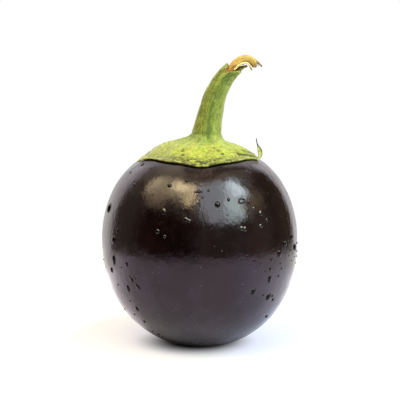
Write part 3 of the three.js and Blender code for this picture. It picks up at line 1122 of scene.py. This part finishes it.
# More drops where the camera sees them, on the right below those specks.
RIGHT_DROPS = (
    (279.3, 253.6, 2.5, 3.6), (271.4, 259.3, 1.4, 1.7), (270.4, 269, 1.4, 2),
    (269.7, 279.3, 2.1, 3.9), (278.6, 276, 1.2), (247.5, 256.5, 1.3), (254.5, 260.5, 1.3),
    (260.5, 263.5, 1), (280.5, 263.5, 1), (281.5, 268.5, 1), (265.5, 271.5, 1),
    (253.6, 291.9, 2.4, 3.4, -15), (268.6, 296.9, 2.5, 3.8, -22), (272.4, 296, 1.3),
    (272.9, 299.7, 1.3, 1.7), (263.3, 295.3, 1.1), (266.5, 316.5, 1.4),
)
DROP_RISE = 0.29  # a drop's height as a share of its width
DROP_SINK = 0.12
DROP_SPREAD = 1.12  # the wetted edge reaches past the drop's crown by this factor
DROP_STRETCH = (1.0, 1.3)  # a drop with no length of its own is this much longer than wide
FLAT_DROPS = (60, 76.5)  # the drops between these heights have spread out, and are flatter,
FLAT_DROPS_REACH = 34  # out to here on either side
FLATNESS = 0.5
ROUNDNESS = 1.1
LARGE_DROP = 1.6  # a longer drop than this has the finer dome
LARGE_DOME = (20, 16)
SMALL_DOME = (10, 8)
# The drops that the camera doesn't see lie anywhere between these turns and heights.
STRAY_DROPS = 90
STRAY_SEED = 7
STRAY_TURNS = (98, 262)
STRAY_HEIGHTS = (12, 92, 50)  # lowest, highest and likeliest
STRAY_WIDTHS = (0.6, 0.8, 0.8, 1.0, 1.0, 1.3, 1.5, 1.8, 2.2, 2.6)
STRAY_STRETCH = (1.0, 1.9)
STRAY_SLANTS = (-20, 20)
FAR_OFF = 200  # well outside the fruit


def make_drop(segments, rings):
    """A flattened dome, one unit wide, that sits a little below height 0."""
    deselect_all()
    bpy.ops.mesh.primitive_uv_sphere_add(segments=segments, ring_count=rings, radius=0.5)
    drop = start_piece("drop")
    start_edit()
    pick_all()
    bpy.ops.mesh.bisect(
        plane_co=(0, 0, -0.02), plane_no=(0, 0, 1), clear_inner=True, use_fill=True
    )
    pick_all()
    bpy.ops.transform.resize(value=(1, 1, 2 * (DROP_RISE + DROP_SINK)))
    bpy.ops.transform.translate(value=(0, 0, -DROP_SINK))
    end_edit()
    return drop


def lay_drop(pattern, place, normal, size, slant, name):
    """Copies the dome onto the skin: its width, length (downhill, if not slanted) and height."""
    downhill = Vector((0, 0, -1)) - normal * normal.dot(Vector((0, 0, -1)))
    downhill.normalize()
    side = normal.cross(downhill)
    slant = math.radians(slant)
    ahead = downhill * math.cos(slant) + side * math.sin(slant)
    turn = Matrix((ahead.cross(normal), ahead, normal)).transposed().to_4x4()
    copy = pattern.copy()
    copy.data = pattern.data.copy()
    copy.name = name
    copy.data.transform(Matrix.Translation(place) @ turn @ Matrix.Diagonal((*size, 1)))
    bpy.context.scene.collection.objects.link(copy)
    return copy


def make_drops(skin_tree):
    rng = random.Random(STRAY_SEED)
    large = make_drop(*LARGE_DOME)
    small = make_drop(*SMALL_DOME)
    copies = []

    def add(start, ahead, wide, long=None, slant=0):
        """Lays a drop where a line from start first meets the skin, if it does."""
        place, normal, *_ = skin_tree.ray_cast(start, ahead)
        long = long or wide * rng.uniform(*DROP_STRETCH)
        if place is None:
            return
        low, high = FLAT_DROPS
        spread = low < place.z / MM < high and abs(place.x / MM) < FLAT_DROPS_REACH
        flat = FLATNESS if spread else ROUNDNESS
        size = (wide * DROP_SPREAD * MM, long * DROP_SPREAD * MM, wide * flat * MM)
        pattern = large if long > LARGE_DROP else small
        copies.append(lay_drop(pattern, place, normal, size, slant, f"drop_{len(copies)}"))

    for across, down, *size in FRONT_DROPS:
        add(mm(*CAMERA_PLACE), seen_at(across, down), *size)
    for x, z, wide in EDGE_SPECKS:
        add(mm(x, -FAR_OFF, z), DEPTH, wide)
    for across, down, *size in RIGHT_DROPS:
        add(mm(*CAMERA_PLACE), seen_at(across, down), *size)
    for _ in range(STRAY_DROPS):
        side, front = facing(rng.uniform(*STRAY_TURNS))
        height = rng.triangular(*STRAY_HEIGHTS)
        wide = rng.choice(STRAY_WIDTHS)
        out = Vector((side, -front, 0))
        long = wide * rng.uniform(*STRAY_STRETCH)
        start = mm(AXIS_X, 0, height) + out * FAR_OFF * MM
        add(start, -out, wide, long, rng.uniform(*STRAY_SLANTS))
    for pattern in (large, small):
        bpy.data.objects.remove(pattern)
    drops = join("water_drops", copies)
    shade(drops, 60)
    return drops


# ======== the studio ========
FLOOR_SIZE = 1000
FLOOR_ENDS = (212, 396)  # the floor fades away between these distances from its middle
FLOOR_MIDDLE = (8, -8)
FLOOR_WHITE = (0.3, 0.27, 0.3, 1)
PAPER_DIMMER = 0.98  # its darker fibres
FLOOR_GLOW = (0.57, 0.57, 0.61, 1)
# Where the floor glows in another way, as painted light: the turns and the distances from the foot at
# which that starts and is full, how much of it is seen (all of it lights the fruit), and the glow.
SIDE_GLOWS = (
    ((-5, -40), (20, 50), 0, (0.46, 0.45, 0.51)),
    ((-66, -98), (22, 48), 0, (1.15, 1.1, 1.22)),
    ((-84, -118), (62, 118), 1, (1.9, 1.8, 1.96)),
    ((-84, -118), (125, 185), 1, (0.9, 0.88, 0.9)),
    ((10, 60), (16, 44), 1, (0.55, 0.59, 0.84)),
    ((30, 85), (34, 62), 0, (0.8, 0.86, 1.14)),
    ((30, 85), (60, 100), 1, (1.05, 1.08, 1.32)),
    ((30, 85), (125, 185), 1, (0.8, 0.8, 0.9)),
)
# The floor's own glow starts and is full at these distances from the foot: as it is seen,
# and for the light that it throws on the fruit. Nearer the foot it stays dark: a painted shadow.
FOOT_SHADE = (13, 34)
FOOT_SHADE_THROWN = (19, 44)
FOOT_SHADE_MIDDLE = (-3, 4)

ROOM = (0.3, 0.25, 0.18, 1)
# What surrounds the fruit: turns, heights above the horizon, softness of the left, right,
# lower and upper edges, in degrees, and the light that it gives, where white paper is 1.
SURROUNDINGS = {
    "dark_room": ((-82, -2), (-40, 30), (26, 16, 8, 14), (0.06, 0.03, 0.02)),
    "left_wall": ((-130, -100), (-40, 66), (24, 14, 8, 16), (0.26, 0.23, 0.17)),
    "left_haze": ((-134, -106), (29, 46), (12, 16, 10, 10), (0.5, 0.4, 0.26)),
    "right_curtain": ((62, 100), (-40, 60), (14, 14, 8, 16), (0.42, 0.33, 0.2)),
    "right_dark": ((92, 141), (-40, 62), (14, 4, 8, 14), (0.18, 0.13, 0.08)),
    "right_haze": ((88, 138), (44, 76), (10, 8, 16, 10), (0.85, 0.74, 0.5)),
    "curtain_glow": ((56, 97), (25, 40), (12, 24, 12, 14), (1.6, 1.3, 0.72)),
    "left_backdrop": ((-200, -126), (-14, 40), (1, 9, 4, 16), (1.75, 1.65, 1.62)),
    "right_backdrop": ((141, 200), (-14, 38), (4, 1, 4, 16), (1.55, 1.46, 1.48)),
    "far_left": ((-200, -152), (-14, 60), (1, 36, 4, 16), (0.85, 0.83, 0.83)),
    "far_right": ((158, 200), (-14, 60), (26, 1, 4, 16), (0.85, 0.82, 0.84)),
    "left_sheet": ((-156, -134), (19, 36), (14, 6, 8, 8), (2.1, 1.98, 2.0)),
    "right_sheet": ((141, 158), (18, 32), (6, 12, 8, 8), (2.0, 1.92, 1.92)),
    "ceiling": ((-200, 200), (78, 95), (1, 1, 10, 1), (0.9, 0.68, 0.38)),
    "ceiling_glow": ((-175, -60), (50, 84), (24, 30, 20, 8), (1.75, 1.55, 1.0)),
    "ceiling_right": ((28, 112), (63, 80), (14, 20, 8, 8), (1.5, 1.3, 0.8)),
    "warm_foot": ((-87, -54), (33, 48), (18, 20, 14, 10), (2.9, 2.4, 1.3)),
    "warm_window": ((-98, -8), (44.5, 61), (22, 3, 13, 10), (4.7, 4.3, 2.1)),
    "warm_window_side": ((-99, -83), (39, 54), (10, 16, 12, 8), (7.4, 6.5, 3.5)),
    "warm_window_top": ((-60, -12), (55, 70), (16, 6, 8, 7), (16.5, 15.4, 7.3)),
    "warm_window_bar": ((-22, -8), (42, 76), (5, 2, 8, 8), (13.6, 12.4, 5.4)),
    "window_gap": ((-8, 8), (54, 76), (6, 8, 14, 8), (4.4, 4.3, 3.3)),
    "cool_window": ((0, 58), (32, 74), (5, 10, 14, 8), (3.9, 4.75, 4.1)),
    "cool_window_foot": ((9, 58), (22, 36), (16, 10, 6, 8), (3.9, 4.75, 4.1)),
    "cool_window_side": ((55, 83), (40, 61), (32, 12, 13, 10), (12.9, 17.3, 14.9)),
    "cool_window_patch": ((36, 62), (23, 44), (12, 12, 11, 8), (7.6, 10.8, 8.5)),
}


def make_studio():
    world = bpy.data.worlds.new("studio")
    bpy.context.scene.world = world
    world.use_nodes = True
    world.node_tree.nodes.clear()
    r = Recipe(world.node_tree)
    x, y, z = r.parts(r.step("TexCoord", output="Generated"))
    turn = r.calc("DEGREES", r.calc("ARCTAN2", x, r.times(y, -1.0)))
    height = r.calc("DEGREES", r.calc("ARCSINE", z))
    light = ROOM
    for turns, heights, soft, glow in SURROUNDINGS.values():
        mask = 1.0
        for value, at, width in (
            (turn, turns[0], soft[0]), (turn, turns[1], -soft[1]),
            (height, heights[0], soft[2]), (height, heights[1], -soft[3]),
        ):
            mask = r.times(mask, r.ease(value, at - width / 2, at + width / 2))
        light = r.mix(mask, light, (*glow, 1))
    lit = r.step("Background", {"Color": light})
    plain = r.step("Background", {"Color": (1, 1, 1, 1)})
    seen = r.step("LightPath", output="Is Camera Ray")
    both = r.step("MixShader", {0: seen, 1: lit, 2: plain})
    r.wire(r.tree.nodes.new("ShaderNodeOutputWorld"), {"Surface": both})


def make_floor():
    deselect_all()
    bpy.ops.mesh.primitive_plane_add(size=FLOOR_SIZE * MM)
    floor = start_piece("floor")
    dress(floor, floor_material())


def make_camera():
    deselect_all()
    bpy.ops.object.camera_add(location=mm(*CAMERA_PLACE), rotation=camera_turn().to_euler())
    camera = bpy.context.object
    camera.data.lens = CAMERA_LENS
    camera.data.sensor_width = CAMERA_SENSOR
    bpy.context.scene.camera = camera


# ======== everything together ========
make_camera()
make_studio()
make_floor()
bpy.context.scene.view_settings.view_transform = "Standard"

skin = make_skin()
dress(skin, skin_material())
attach(skin, "root")
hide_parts("fruit")

skin_tree = BVHTree.FromObject(skin, bpy.context.evaluated_depsgraph_get())

calyx, stalk = make_green(skin_tree)
calyx = join("calyx_cap", [calyx, make_curl()])
stalk = join("stalk_rind", [stalk, make_tongue()])
for piece, node, finish in ((calyx, "calyx", "calyx"), (stalk, "stalk", "stalk")):
    shade(piece, 45)
    dress(piece, green_material(finish + "_flesh"))
    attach(piece, "root")
    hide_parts(node)

torn_end = join("torn_fibre", make_torn_end())
shade(torn_end, 60)
dress(torn_end, fibre_material())
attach(torn_end, "root")
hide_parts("torn_end")

drops = make_drops(skin_tree)
dress(drops, water_material())
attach(drops, "root")
